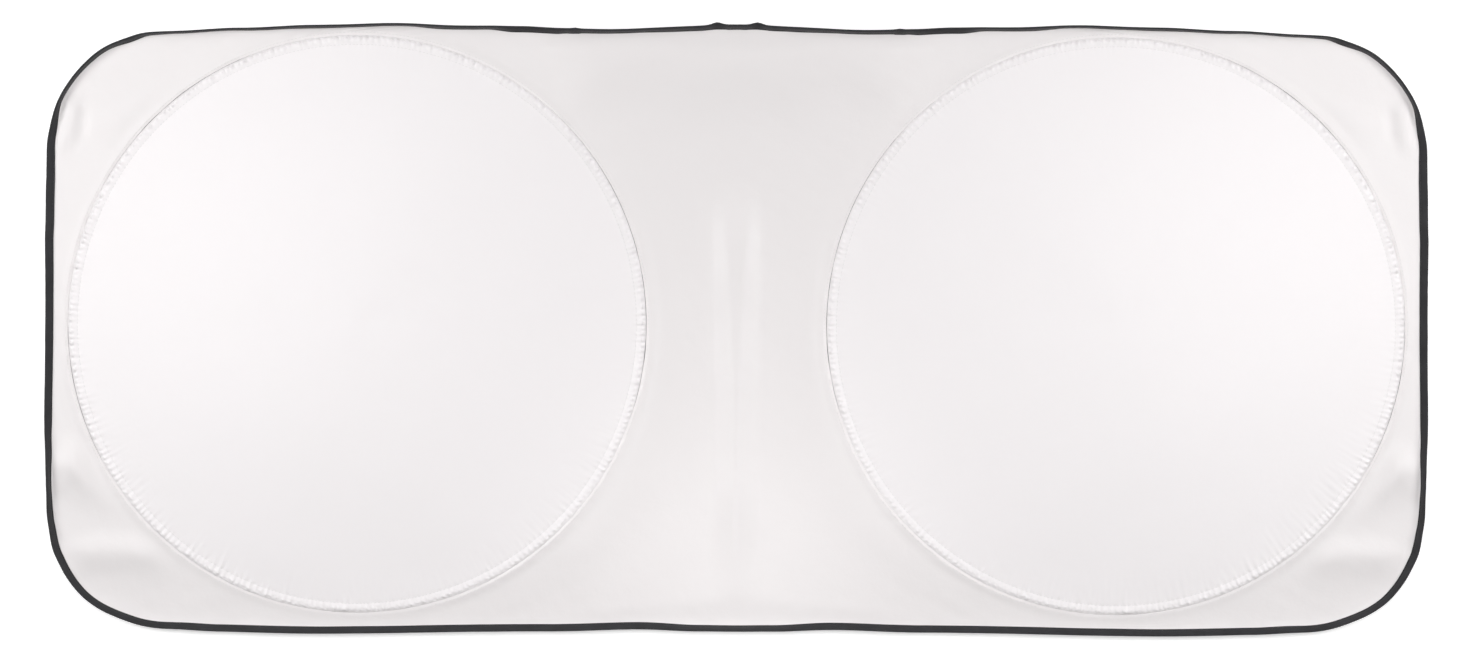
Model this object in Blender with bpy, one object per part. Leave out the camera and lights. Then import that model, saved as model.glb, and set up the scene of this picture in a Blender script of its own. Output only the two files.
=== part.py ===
"""Windscreen shade that springs open: two round sprung panels in one soft sheet with a bound edge.

Metres. +X runs along the shade, +Y to its top edge, +Z up. It lies on the undersides of its two hoop tunnels.
"""
import math

import bmesh
import bpy

# Cloths and the air left between touching pieces
CLOTH = 0.0005
TAPE = 0.0005
GAP = 0.0003

# Round panels and the flat steel strip inside the tunnel round each of them
DISC_DIAMETER = 0.627
DISC_SPACING = 0.197
STRIP_HEIGHT = 0.0032
STRIP_THICKNESS = 0.0009
STRIP_END_GAP = 0.001
CLIP_WALL = 0.0004
CLIP_LENGTH = 0.020

# Tunnel section: distances from the strip's middle line, and the height of its tape's sewn edges
TUNNEL_INNER = 0.005
TUNNEL_OUTER = 0.0045
TAPE_REACH = 0.0085
BELLY_HALF = 0.0019
SEWN_EDGE_RISE = 0.0018

# Gathers of the round panels, and how far their middles stand up
GATHER_HEIGHT = 0.0016
GATHER_DISTANCE = 0.014
GATHER_REACH = 0.030
DISC_CROWN = 0.003

# Cloth left free between each tunnel and the binding, and the shape of the outline
FREE_TOP = 0.003
FREE_BOTTOM = 0.0065
FREE_SIDE = 0.010
CORNER_RADIUS = 0.140

# Waves of the long edges: distance from the middle, outward push, half width
TOP_WAVES = ((0.0, 0.003, 0.05), (0.13, -0.003, 0.05), (0.347, 0.003, 0.07))
BOTTOM_WAVES = ((0.45, 0.003, 0.09),)

# The folded binding, and how steeply the edge curls up: share of the way from the top middle to the
# bottom middle, degrees
BINDING_WIDTH = 0.010
EDGE_CURL = ((0.0, 70), (0.26, 66), (0.42, 18), (0.50, 26), (0.585, 52), (0.66, 42), (1.0, 42))

# Folds of the loose cloth on one half, as x1, y1, x2, y2, height, half width
FOLDS = (
    (0.022, 0.163, 0.000, -0.293, 0.0035, 0.010),
    (0.000, 0.297, 0.200, 0.303, 0.0040, 0.018),
    (0.000, -0.300, 0.100, -0.300, 0.0025, 0.070),
    (0.640, -0.233, 0.700, -0.240, 0.0035, 0.016),
    (0.640, 0.285, 0.690, 0.262, 0.0025, 0.020),
)
FOLD_FADE = 0.030

# Elastic loop behind the top edge that holds the shade when it is folded
LOOP_SPACING = 0.044
LOOP_WIDTH = 0.008
LOOP_THICKNESS = 0.001
LOOP_LENGTH = 0.070
LOOP_TUCK = 0.002

# Steps of the round meshes, and places of the cross rows of the loose cloth
SPOKES = 76
CLOTH_ROWS = (0.0, 0.3, 0.55, 0.78, 1.0)
LOOP_BEND_STEPS = 8
BACK_LEAF = 2
MERGE = 0.00001

SEAM_RADIUS = DISC_DIAMETER / 2
HOOP_RADIUS = SEAM_RADIUS - TUNNEL_OUTER
HOOP_X = DISC_SPACING / 2 + SEAM_RADIUS
TAPE_OUTER = HOOP_RADIUS + TAPE_REACH
STEP = 2 * math.pi / SPOKES

# Heights, from the floor up: tape, strip, clip, then the panels that lie on the tape's sewn edges
STRIP_LOW = TAPE + GAP
CLIP_HIGH = STRIP_LOW + STRIP_HEIGHT + GAP + CLIP_WALL
CLIP_HALF = STRIP_THICKNESS / 2 + GAP + CLIP_WALL
PANEL_MID = SEWN_EDGE_RISE + TAPE + GAP + CLOTH / 2

TOP_CURL = math.radians(EDGE_CURL[0][1])
BOTTOM_CURL = math.radians(EDGE_CURL[-1][1])
TOP_REACH = TAPE_OUTER + FREE_TOP + BINDING_WIDTH * math.cos(TOP_CURL)
BOTTOM_REACH = TAPE_OUTER + FREE_BOTTOM + BINDING_WIDTH * math.cos(BOTTOM_CURL)
HALF_DEPTH = (TOP_REACH + BOTTOM_REACH) / 2
HALF_WIDTH = HOOP_X + TAPE_OUTER + FREE_SIDE + BINDING_WIDTH
HOOP_Y = HALF_DEPTH - TOP_REACH


def smooth_step(share):
    share = min(max(share, 0.0), 1.0)
    return share * share * (3 - 2 * share)


def material(name, color, roughness, metallic=0.0):
    """A plain Principled material."""
    made = bpy.data.materials.new(name)
    made.use_nodes = True
    shader = made.node_tree.nodes["Principled BSDF"]
    shader.inputs["Base Color"].default_value = (*color, 1.0)
    shader.inputs["Roughness"].default_value = roughness
    shader.inputs["Metallic"].default_value = metallic
    return made


def skin(bm, rows, closed=False, flipped=()):
    """Joins neighbouring rows of points with pairs of triangles; closed also joins the last row to the first.

    The strips listed in flipped are split along their other diagonal, so that layers which face each other
    bend along the same lines.
    """
    made = [[bm.verts.new(point) for point in row] for row in rows]
    pairs = list(zip(made, made[1:]))
    if closed:
        pairs.append((made[-1], made[0]))
    for row, following in pairs:
        for i in range(len(row) - 1):
            a, b, c, d = row[i], row[i + 1], following[i + 1], following[i]
            halves = ((a, b, d), (b, c, d)) if i in flipped else ((a, b, c), (a, c, d))
            for corners in halves:
                bm.faces.new(corners)
    return made


def sheet(name, bm, thickness, finish, place=(0, 0), mirrored=False):
    """Turns an open surface into a piece of even thickness, half of it to each side of the surface.

    A piece that is placed on the left is the mirror image of its partner on the right.
    """
    if place[0] < 0:
        bmesh.ops.scale(bm, vec=(-1, 1, 1), verts=bm.verts)
    bmesh.ops.remove_doubles(bm, verts=bm.verts, dist=MERGE)
    bmesh.ops.recalc_face_normals(bm, faces=bm.faces)
    mesh = bpy.data.meshes.new(name)
    bm.to_mesh(mesh)
    bm.free()
    mesh.shade_smooth()
    mesh.set_sharp_from_angle(angle=math.radians(40))
    mesh.materials.append(finish)
    piece = bpy.data.objects.new(name, mesh)
    bpy.context.collection.objects.link(piece)
    piece.location = (*place, 0)
    if mirrored:
        mirror = piece.modifiers.new("Other half", "MIRROR")
        mirror.use_clip = False
        mirror.merge_threshold = MERGE
    wall = piece.modifiers.new("Thickness", "SOLIDIFY")
    wall.thickness = thickness
    wall.offset = 0
    wall.use_even_offset = True
    return piece


def turned(section, angles):
    """Rows of a section, as (radius, height) points, turned to each angle."""
    return [[(r * math.cos(a), r * math.sin(a), z) for r, z in section] for a in angles]


def spoke_angles():
    return [k * STEP for k in range(SPOKES)]


def crest_mid():
    """Height of the disc cloth over the strip, which clears the clip's upper corners on the steeper side."""
    share = CLIP_HALF / TUNNEL_OUTER
    clear = CLIP_HIGH + GAP + CLOTH
    return (clear - share * PANEL_MID) / (1 - share)


def disc_panel(name, place, finish):
    """Round panel: crowned middle, gathers along its seam, and the upper half of the tunnel at its rim."""
    bm = bmesh.new()
    foot = HOOP_RADIUS - TUNNEL_INNER
    rows = []
    for k, angle in enumerate(spoke_angles()):
        lift = GATHER_HEIGHT if k % 2 else 0.0
        section = (
            (foot - GATHER_REACH, PANEL_MID),
            (foot - GATHER_DISTANCE, PANEL_MID + lift),
            (foot, PANEL_MID),
            (HOOP_RADIUS, crest_mid()),
            (SEAM_RADIUS, PANEL_MID),
        )
        rows += turned(section, (angle,))
    made = skin(bm, rows, closed=True)
    middle = bm.verts.new((0, 0, PANEL_MID + DISC_CROWN))
    for row, following in zip(made, made[1:] + made[:1]):
        bm.faces.new((middle, row[0], following[0]))
    return sheet(name, bm, CLOTH, finish, place)


def hoop_pocket(name, place, finish):
    """Tape behind the tunnel: both edges sewn to the panels, its belly under the strip."""
    belly = TAPE / 2
    edge = SEWN_EDGE_RISE + TAPE / 2
    section = (
        (HOOP_RADIUS - TAPE_REACH, edge),
        (HOOP_RADIUS - BELLY_HALF, belly),
        (HOOP_RADIUS + BELLY_HALF, belly),
        (TAPE_OUTER, edge),
    )
    bm = bmesh.new()
    skin(bm, turned(section, spoke_angles()), closed=True)
    return sheet(name, bm, TAPE, finish, place)


def joint_angle():
    """Where the strip's ends meet: the middle of a straight stretch next to the hoop's lowest point."""
    return -math.pi / 2 + STEP / 2


def hoop(name, place, finish):
    """Flat strip standing on edge, with its two ends close together inside the clip."""
    start = joint_angle()
    half_gap = STRIP_END_GAP / 2 / HOOP_RADIUS
    flat = HOOP_RADIUS * math.cos(STEP / 2)
    bm = bmesh.new()
    ends = (start + half_gap, start + 2 * math.pi - half_gap)
    end_rows = [turned(((flat, STRIP_LOW), (flat, STRIP_LOW + STRIP_HEIGHT)), (a,))[0] for a in ends]
    section = ((HOOP_RADIUS, STRIP_LOW), (HOOP_RADIUS, STRIP_LOW + STRIP_HEIGHT))
    turns = turned(section, [start + STEP / 2 + k * STEP for k in range(SPOKES)])
    skin(bm, [end_rows[0], *turns, end_rows[1]])
    return sheet(name, bm, STRIP_THICKNESS, finish, place)


def hoop_clip(name, place, finish):
    """Folded clip over the strip's two ends, open below."""
    side = CLIP_HALF - CLIP_WALL / 2
    top = CLIP_HIGH - CLIP_WALL / 2
    profile = ((-side, STRIP_LOW), (-side, top), (side, top), (side, STRIP_LOW))
    angle = joint_angle()
    flat = HOOP_RADIUS * math.cos(STEP / 2)
    out = (math.cos(angle), math.sin(angle))
    along = (-out[1], out[0])
    rows = []
    for end in (-CLIP_LENGTH / 2, CLIP_LENGTH / 2):
        rows.append([
            (out[0] * (flat + r) + along[0] * end, out[1] * (flat + r) + along[1] * end, z) for r, z in profile
        ])
    bm = bmesh.new()
    skin(bm, rows)
    return sheet(name, bm, CLIP_WALL, finish, place)


def wave(x, waves):
    """Outward push of a long edge at a distance x from the middle."""
    return sum(push * math.exp(-(((x - middle) / half) ** 2)) for middle, push, half in waves)


def edge_at(share):
    """Point and outward direction on the right half's outline, from the top middle to the bottom middle."""
    straight = HALF_WIDTH - CORNER_RADIUS
    bend = CORNER_RADIUS * math.pi / 2
    side = 2 * (HALF_DEPTH - CORNER_RADIUS)
    way = share * (2 * straight + 2 * bend + side)
    if way <= straight:
        return (way, HALF_DEPTH + wave(way, TOP_WAVES)), (0, 1)
    way -= straight
    if way <= bend:
        turn = math.pi / 2 - way / CORNER_RADIUS
        return corner_at(turn, straight, side / 2)
    way -= bend
    if way <= side:
        return (HALF_WIDTH, side / 2 - way), (1, 0)
    way -= side
    if way <= bend:
        return corner_at(-way / CORNER_RADIUS, straight, -side / 2)
    x = straight - (way - bend)
    return (x, -HALF_DEPTH - wave(x, BOTTOM_WAVES)), (0, -1)


def corner_at(turn, x, y):
    out = (math.cos(turn), math.sin(turn))
    return (x + CORNER_RADIUS * out[0], y + CORNER_RADIUS * out[1]), out


def curl_at(share):
    """How steeply the bound edge curls up, eased between its stations."""
    for (before, low), (after, high) in zip(EDGE_CURL, EDGE_CURL[1:]):
        if share <= after:
            return math.radians(low + (high - low) * smooth_step((share - before) / (after - before)))
    return math.radians(EDGE_CURL[-1][1])


def fold_height(x, y):
    """How far the loose cloth stands over its sewn level; nothing at the tunnels."""
    x = abs(x)
    beyond = math.hypot(x - HOOP_X, y - HOOP_Y) - TAPE_OUTER
    total = 0.0
    for x1, y1, x2, y2, height, half in FOLDS:
        dx, dy = x2 - x1, y2 - y1
        share = min(max(((x - x1) * dx + (y - y1) * dy) / (dx * dx + dy * dy), 0.0), 1.0)
        away = math.hypot(x - x1 - share * dx, y - y1 - share * dy)
        total += height * math.exp(-((away / half) ** 2))
    return total * smooth_step(beyond / FOLD_FADE)


def edge_frame(share):
    """The line where the edge starts to curl, with the two directions of the curled part."""
    (x, y), (out_x, out_y) = edge_at(share)
    curl = curl_at(share)
    inset = BINDING_WIDTH * math.cos(curl)
    start_x, start_y = x - out_x * inset, y - out_y * inset
    start = (start_x, start_y, PANEL_MID + fold_height(start_x, start_y))
    along = (out_x * math.cos(curl), out_y * math.cos(curl), math.sin(curl))
    upright = (-out_x * math.sin(curl), -out_y * math.sin(curl), math.cos(curl))
    return start, along, upright, curl


def on_edge(frame, way, rise):
    """A point on the curled edge: so far along the curl, and so far off the cloth's middle."""
    start, along, upright, _ = frame
    return tuple(start[i] + way * along[i] + rise * upright[i] for i in range(3))


def edge_shares():
    """Stations along the right half's outline, as many as the spokes that face it."""
    facing = SPOKES - 2 * middle_spokes()
    return [i / facing for i in range(facing + 1)]


def middle_spokes():
    """How many spokes of a hoop, to each side of its inmost point, face the shade's middle line."""
    return round(math.atan2(HALF_DEPTH, HOOP_X) / STEP)


def surround_panel(finish):
    """Loose cloth round both discs, lying on the tapes' outer edges, with its rim inside the binding."""
    hole = SEAM_RADIUS + GAP
    shares = edge_shares()
    frames = [edge_frame(share) for share in shares]
    starts = [frame[0] for frame in frames]
    count = 2 * middle_spokes()
    top, bottom = starts[0][1], starts[-1][1]
    middle_line = [(0.0, bottom + (top - bottom) * i / count, 0.0) for i in range(1, count)]
    first = math.pi - middle_spokes() * STEP
    rows = []
    for k, goal in enumerate(starts + middle_line):
        angle = first - k * STEP
        row = []
        for radius in (hole, TAPE_OUTER):
            row.append((HOOP_X + radius * math.cos(angle), HOOP_Y + radius * math.sin(angle)))
        x, y = row[-1]
        row += [(x + (goal[0] - x) * share, y + (goal[1] - y) * share) for share in CLOTH_ROWS[1:]]
        rows.append([(x, y, PANEL_MID + fold_height(x, y)) for x, y in row])
    bm = bmesh.new()
    skin(bm, rows, closed=True)
    rim = BINDING_WIDTH - TAPE - GAP
    skin(bm, [[start, on_edge(frame, rim, 0)] for start, frame in zip(starts, frames)])
    return sheet("surround_panel", bm, CLOTH, finish, mirrored=True)


def edge_binding(finish):
    """Tape folded over the sheet's rim all round."""
    off = CLOTH / 2 + GAP + TAPE / 2
    fold = BINDING_WIDTH - TAPE / 2
    rows = []
    for share in edge_shares():
        frame = edge_frame(share)
        front_start = (off + TAPE / 2) * math.tan(frame[3] / 2)
        places = ((front_start, off), (fold, off), (fold, -off), (0, -off))
        rows.append([on_edge(frame, way, rise) for way, rise in places])
    bm = bmesh.new()
    skin(bm, rows, flipped=(BACK_LEAF,))
    return sheet("edge_binding", bm, TAPE, finish, mirrored=True)


def retaining_loop(finish):
    """Flat elastic behind the sheet, both ends tucked under the binding at the middle of the top edge."""
    start = edge_frame(0)[0]
    height = PANEL_MID - CLOTH / 2 - GAP - LOOP_THICKNESS / 2
    bend = LOOP_SPACING / 2
    low = start[1] - LOOP_LENGTH + bend
    half = LOOP_WIDTH / 2
    rows = [[(side * (bend - half), start[1] + LOOP_TUCK, height), (side * (bend + half), start[1] + LOOP_TUCK, height)]
            for side in (-1, 1)]
    bends = []
    for i in range(LOOP_BEND_STEPS + 1):
        turn = math.pi + math.pi * i / LOOP_BEND_STEPS
        bends.append([((bend + w) * math.cos(turn), low + (bend + w) * math.sin(turn), height) for w in (-half, half)])
    bm = bmesh.new()
    skin(bm, [rows[0], *bends, rows[1]])
    return sheet("retaining_loop", bm, LOOP_THICKNESS, finish)


def main():
    for old in list(bpy.data.objects):
        bpy.data.objects.remove(old, do_unlink=True)
    disc_cloth = material("disc cloth", (0.90, 0.89, 0.89), 0.45)
    surround_cloth = material("surround cloth", (0.80, 0.78, 0.76), 0.50)
    pocket_tape = material("pocket tape", (0.75, 0.75, 0.75), 0.60)
    black_tape = material("black tape", (0.02, 0.02, 0.025), 0.65)
    elastic = material("black elastic", (0.015, 0.015, 0.018), 0.80)
    steel = material("spring steel", (0.45, 0.46, 0.48), 0.30, 1.0)
    surround_panel(surround_cloth)
    edge_binding(black_tape)
    retaining_loop(elastic)
    for side, sign in (("left", -1), ("right", 1)):
        place = (sign * HOOP_X, HOOP_Y)
        disc_panel(f"{side}_disc_panel", place, disc_cloth)
        hoop_pocket(f"{side}_hoop_pocket", place, pocket_tape)
        hoop(f"{side}_hoop", place, steel)
        hoop_clip(f"{side}_hoop_clip", place, steel)


main()
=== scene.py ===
import math

import bmesh
import bpy
import numpy as np
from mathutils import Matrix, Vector


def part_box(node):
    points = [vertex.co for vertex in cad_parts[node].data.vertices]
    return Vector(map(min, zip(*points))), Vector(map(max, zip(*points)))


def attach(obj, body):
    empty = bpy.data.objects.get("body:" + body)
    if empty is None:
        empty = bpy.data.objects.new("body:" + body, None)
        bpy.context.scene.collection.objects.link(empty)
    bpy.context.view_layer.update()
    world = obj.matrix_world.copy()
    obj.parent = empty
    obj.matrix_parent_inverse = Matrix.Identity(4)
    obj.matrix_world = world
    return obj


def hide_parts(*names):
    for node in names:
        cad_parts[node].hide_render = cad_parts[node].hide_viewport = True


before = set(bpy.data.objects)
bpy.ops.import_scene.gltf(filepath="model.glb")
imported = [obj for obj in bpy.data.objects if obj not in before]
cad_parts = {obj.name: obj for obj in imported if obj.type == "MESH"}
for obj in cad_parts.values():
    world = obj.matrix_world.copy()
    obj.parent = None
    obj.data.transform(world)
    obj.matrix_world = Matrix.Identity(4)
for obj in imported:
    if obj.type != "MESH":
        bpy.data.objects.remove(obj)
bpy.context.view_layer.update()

# Places read from the frame, in metres
hoopLow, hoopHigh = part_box("right_hoop")
discLow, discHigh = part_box("right_disc_panel")
tapeLow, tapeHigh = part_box("right_hoop_pocket")
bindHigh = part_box("edge_binding")[1]
loopLow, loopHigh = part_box("retaining_loop")
hoopX, hoopY = (hoopLow.x + hoopHigh.x) / 2, (hoopLow.y + hoopHigh.y) / 2
seamRadius = (discHigh.x - discLow.x) / 2  # the sewn line round each hoop
tapeReach = (tapeHigh.x - tapeLow.x) / 2  # outer edge of the tape behind the hoop
stripThick = 0.0009  # the steel strip of the hoop
hoopRadius = (hoopHigh.x - hoopLow.x) / 2 - stripThick / 2  # middle of the strip

# Cloth thicknesses and heights, as in the solids
cloth = {"thick": 0.0005, "gap": 0.0003, "panelMid": 0.00285, "foldFade": 0.030}

outline = {
    "halfWidth": bindHigh.x - 0.0003,  # a little inside the solid's edge
    "halfDepth": 0.3286,
    "corner": 0.140,
    "topWaves": (  # distance from the middle, outward push, half width
        (0.0, 0.003, 0.05), (0.13, -0.003, 0.05), (0.347, 0.003, 0.07), (0.022, 0.0033, 0.0066),
        (0.1755, 0.0011, 0.004)),
    "bottomWaves": ((0.45, 0.003, 0.09),),
    "pushes": (  # share of the half outline from the top middle, outward push in millimetres
        (0.0, -3.0), (0.05, -2.6), (0.093, -3.8), (0.115, -2.2), (0.155, -4.0), (0.19, -2.1), (0.226, -2.1),
        (0.265, -5.5), (0.302, -9.2), (0.3235, -6.0), (0.345, -3.3), (0.385, -2.9), (0.415, -1.1),
        (0.436, 0.1), (0.50, -0.9), (0.545, -0.2), (0.59, -3.6), (0.606, -3.0), (0.6226, 0.4), (0.65, 2.6),
        (0.677, -0.6), (0.70, -1.2), (0.725, 0.7), (0.79, 0.3), (0.825, 1.1), (0.90, 0.0), (0.949, -2.6),
        (0.98, -0.8), (1.0, -0.6)),
    "bindingWidth": 0.010,
    "curls": (  # share of the half outline, degrees up from the floor
        (0.0, 68), (0.006, 66), (0.0108, 45), (0.0156, 66), (0.03, 68), (0.055, 75), (0.082, 72),
        (0.0862, 58), (0.0905, 66), (0.097, 58), (0.118, 56), (0.133, 79), (0.157, 76),
        (0.178, 88), (0.205, 87), (0.226, 83), (0.25, 86), (0.275, 90), (0.30, 89), (0.314, 82), (0.3235, 66),
        (0.340, 78), (0.377, 84), (0.397, 46), (0.412, 28), (0.434, 12), (0.457, 34), (0.50, 40), (0.545, 43),
        (0.564, 57), (0.584, 73), (0.602, 60), (0.622, 48), (0.645, 54), (0.68, 50), (0.72, 45), (0.95, 44),
        (0.98, 54), (1.0, 56)),
    "bendWay": 0.0025,  # how far the cloth takes to bend up into the curl
    "flutter": ((0.0006, 21, 0.060), (0.0002, 22, 0.017)),  # height, seed, wavelength
}


def smoothStep(share):
    share = np.clip(share, 0.0, 1.0)
    return share * share * (3 - 2 * share)


def softNoise(x, y, seed, wavelength, waves=9):
    # a few sine waves in fixed odd directions, about -1 to 1
    rng = np.random.default_rng(seed)
    widest, wholeWave = 6.28, 6.2832  # radians
    turns, stretches = rng.uniform(0, widest, waves), rng.uniform(0.7, 1.5, waves)
    phases = rng.uniform(0, widest, waves)
    total = np.zeros(np.broadcast(x, y).shape)
    for turn, stretch, phase in zip(turns, stretches, phases):
        way = x * math.cos(turn) + y * math.sin(turn)
        total += np.sin(way * wholeWave / (wavelength * stretch) + phase)
    return total / math.sqrt(waves * 2.0)


def summedNoise(x, y, layers):
    # noise of several heights and wavelengths
    return sum(height * softNoise(x, y, seed, wavelength) for height, seed, wavelength in layers)


def mixed(first, second, share):
    return first + (second - first) * share


def bell(away, half, power=2):
    # a bump of height 1 that fades with the distance from its middle
    return np.exp(-((away / half) ** power))


def wrapped(degrees):
    # an angle between -180 and 180
    return (degrees + 180) % 360 - 180


def meshPiece(name, points, polygons, material, uvs=None, mirror=False):
    # a mesh object at the origin; mirror turns the right piece into the left one
    points = np.array(points, float)
    if mirror:
        points = points * (-1, 1, 1)
        polygons = [tuple(reversed(p)) for p in polygons]
        uvs = None if uvs is None else [tuple(reversed(u)) for u in uvs]
    mesh = bpy.data.meshes.new(name)
    mesh.from_pydata(points.tolist(), [], polygons)
    if uvs is not None:
        layer = mesh.uv_layers.new(name="clothUV")
        layer.data.foreach_set("uv", np.array([c for face in uvs for c in face], np.float32).ravel())
    mesh.materials.append(material)
    mesh.shade_smooth()
    mesh.update()
    piece = bpy.data.objects.new(name, mesh)
    bpy.context.scene.collection.objects.link(piece)
    return piece


def gridFaces(rows, columns, closed=False, start=0):
    # quads of a grid whose points are stored row by row
    faces = []
    for r in range(rows if closed else rows - 1):
        a, b = start + r * columns, start + ((r + 1) % rows) * columns
        faces += [(a + c, a + c + 1, b + c + 1, b + c) for c in range(columns - 1)]
    return faces


def gridUvs(along, across):
    # UV corners for gridFaces of a strip, in metres along and across it
    uvs = []
    for near, far in zip(along, along[1:]):
        uvs += [((near, a), (near, b), (far, b), (far, a)) for a, b in zip(across, across[1:])]
    return uvs


def thicken(piece, thickness):
    wall = piece.modifiers.new("Cloth thickness", "SOLIDIFY")
    wall.thickness = thickness
    wall.offset = 0
    wall.use_even_offset = True
    return piece


def cleaned(piece, topUp=True):
    # merges doubled points, as on the shade's middle line, and turns all faces the same way
    bm = bmesh.new()
    bm.from_mesh(piece.data)
    bmesh.ops.remove_doubles(bm, verts=bm.verts, dist=0.00002)
    bmesh.ops.recalc_face_normals(bm, faces=bm.faces)
    flattest = max(bm.faces, key=lambda f: abs(f.normal.z) * f.calc_area())
    if topUp and flattest.normal.z < 0:
        bmesh.ops.reverse_faces(bm, faces=bm.faces)
    bm.to_mesh(piece.data)
    bm.free()
    return piece


# Outline and curled edge of the sheet, right half, from the top middle to the bottom middle
def waveAt(x, waves):
    return sum(push * np.exp(-(((x - middle) / half) ** 2)) for middle, push, half in waves)


def outlinePoint(share):
    # the plain rounded outline with its waves, then pushed out or in as the edge lies
    x, y, outX, outY = plainOutline(share)
    shares, pushes = zip(*outline["pushes"])
    push = float(eased(share, shares, pushes)) / 1000
    return x + outX * push, y + outY * push, outX, outY


def eased(value, places, amounts):
    # a smooth curve through the listed amounts
    k = int(np.clip(np.searchsorted(places, value) - 1, 0, len(places) - 2))
    return mixed(amounts[k], amounts[k + 1], smoothStep((value - places[k]) / (places[k + 1] - places[k])))


def cornerPoint(middleX, middleY, turn):
    outX, outY = math.cos(turn), math.sin(turn)
    return middleX + outline["corner"] * outX, middleY + outline["corner"] * outY, outX, outY


def plainOutline(share):
    # a point at a share of the way round the half outline, and its outward direction
    straight = outline["halfWidth"] - outline["corner"]
    bend = outline["corner"] * math.pi / 2
    side = 2 * (outline["halfDepth"] - outline["corner"])
    way = share * (2 * straight + 2 * bend + side)
    if way <= straight:
        return way, outline["halfDepth"] + waveAt(way, outline["topWaves"]), 0.0, 1.0
    way -= straight
    if way <= bend:
        return cornerPoint(straight, side / 2, math.pi / 2 - way / outline["corner"])
    way -= bend
    if way <= side:
        return outline["halfWidth"], side / 2 - way, 1.0, 0.0
    way -= side
    if way <= bend:
        return cornerPoint(straight, -side / 2, -way / outline["corner"])
    x = straight - (way - bend)
    return x, -outline["halfDepth"] - waveAt(x, outline["bottomWaves"]), 0.0, -1.0


def curlAt(share):
    return math.radians(float(eased(share, *zip(*outline["curls"]))))


# Folds of the loose cloth
# x1, y1, x2, y2, height, half width to the left and right of the way from 1 to 2, end fade
looseFolds = {
    "top swell": (0.000, 0.292, 0.125, 0.299, 0.0108, 0.029, 0.050, 0.085),
    "lower swell": (0.000, -0.288, 0.130, -0.300, 0.0035, 0.120, 0.022, 0.05),
    "lower corner": (0.640, -0.243, 0.700, -0.246, 0.0045, 0.018, 0.020, 0.02),
    "lower furrow": (0.640, -0.181, 0.715, -0.148, 0.0072, 0.024, 0.026, 0.02),
    "upper corner": (0.540, 0.292, 0.670, 0.225, 0.0038, 0.030, 0.034, 0.03),
    "upper dimple": (0.708, 0.230, 0.710, 0.212, -0.0016, 0.006, 0.006, 0.010),
    "upper bump": (0.722, 0.238, 0.727, 0.205, 0.0034, 0.008, 0.009, 0.012),
    "upper crease": (0.704, 0.268, 0.716, 0.258, 0.0008, 0.004, 0.005, 0.006),
    "edge tuck": (0.160, 0.306, 0.195, 0.304, 0.0016, 0.010, 0.012, 0.012),
}
looseUnrest = ((0.0004, 11, 0.070), (0.00015, 12, 0.022))  # height, seed, wavelength
# towards the sides and the lower edge the cloth climbs to its rim
rimRise = {"height": 0.0019, "reach": 0.010, "above": 0.3, "over": 0.6}
ripple = {
    "height": 0.0075, "lowHeight": 0.0100, "top": 0.158, "topFade": 0.065,
    "fork": 0.105, "join": -0.085, "bottom": -0.300, "bottomFade": 0.14,
    "spread": 0.0192, "joined": 0.0118, "flank": 0.0092, "joinedFlank": 0.0118, "roundness": 0.7,
}
besideHoop = {
    "height": 0.0028, "middle": 184, "half": 40, "away": 0.015, "width": 0.024, "lowWidth": 0.040,
    "lowFrom": 172, "lowOver": 35,  # degrees round the hoop
    "rootAt": 0.003, "rootOver": 0.019,
}


def rippleHeight(x, y):
    # one raised strip down the middle, broad above and narrow below
    share = np.clip((ripple["fork"] - y) / (ripple["fork"] - ripple["join"]), 0, 1)
    spread = mixed(ripple["spread"], ripple["joined"], share)
    flank = mixed(ripple["flank"], ripple["joinedFlank"], share)
    fall = np.clip((x - spread + flank) / (2 * flank), 0, 1)
    roundness = ripple["roundness"] * (1 - share)
    side = 1 - roundness * smoothStep(fall) - (1 - roundness) * fall
    height = mixed(ripple["height"], ripple["lowHeight"], share)
    topEnd = smoothStep((ripple["top"] - y) / ripple["topFade"])
    bottomEnd = smoothStep((y - ripple["bottom"]) / ripple["bottomFade"])
    return height * side * (topEnd * bottomEnd)


def besideHoopHeight(x, y):
    # the loose cloth stands up beside the inner side of each hoop and slopes down to the middle
    radius = np.hypot(x - hoopX, y - hoopY) - tapeReach
    turn = np.degrees(np.arctan2(y - hoopY, x - hoopX)) % 360
    low = smoothStep((turn - besideHoop["lowFrom"]) / besideHoop["lowOver"])
    width = mixed(besideHoop["width"], besideHoop["lowWidth"], low)
    window = bell(turn - besideHoop["middle"], besideHoop["half"], 4)
    beyond = np.clip(radius - besideHoop["away"], 0, None)
    root = smoothStep((radius + besideHoop["rootAt"]) / besideHoop["rootOver"])
    return besideHoop["height"] * window * bell(beyond, width) * root


def foldHeight(x, y):
    # how far the loose cloth stands over its sewn level
    x = np.abs(x)
    total = np.zeros(np.broadcast(x, y).shape)
    for x1, y1, x2, y2, height, halfLeft, halfRight, fade in looseFolds.values():
        length = math.hypot(x2 - x1, y2 - y1)
        dx, dy = (x2 - x1) / length, (y2 - y1) / length
        along = (x - x1) * dx + (y - y1) * dy
        aside = (y - y1) * dx - (x - x1) * dy  # positive to the left of the fold
        half = np.where(aside > 0, halfLeft, halfRight)
        past = np.clip(np.maximum(-along, along - length), 0, None)
        total += height * np.exp(-((aside / half) ** 2) - (past / fade) ** 2)
    total += summedNoise(x, y, looseUnrest)
    total += rippleHeight(x, y)
    beyond = np.hypot(x - hoopX, y - hoopY) - tapeReach
    loosened = smoothStep(beyond / cloth["foldFade"])
    return total * loosened + besideHoopHeight(x, y)


def rimHeight(away, outY):
    # outY is the upward part of the edge's outward direction
    facing = smoothStep((rimRise["above"] - outY) / rimRise["over"])
    return rimRise["height"] * np.exp(-away / rimRise["reach"]) * facing


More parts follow.
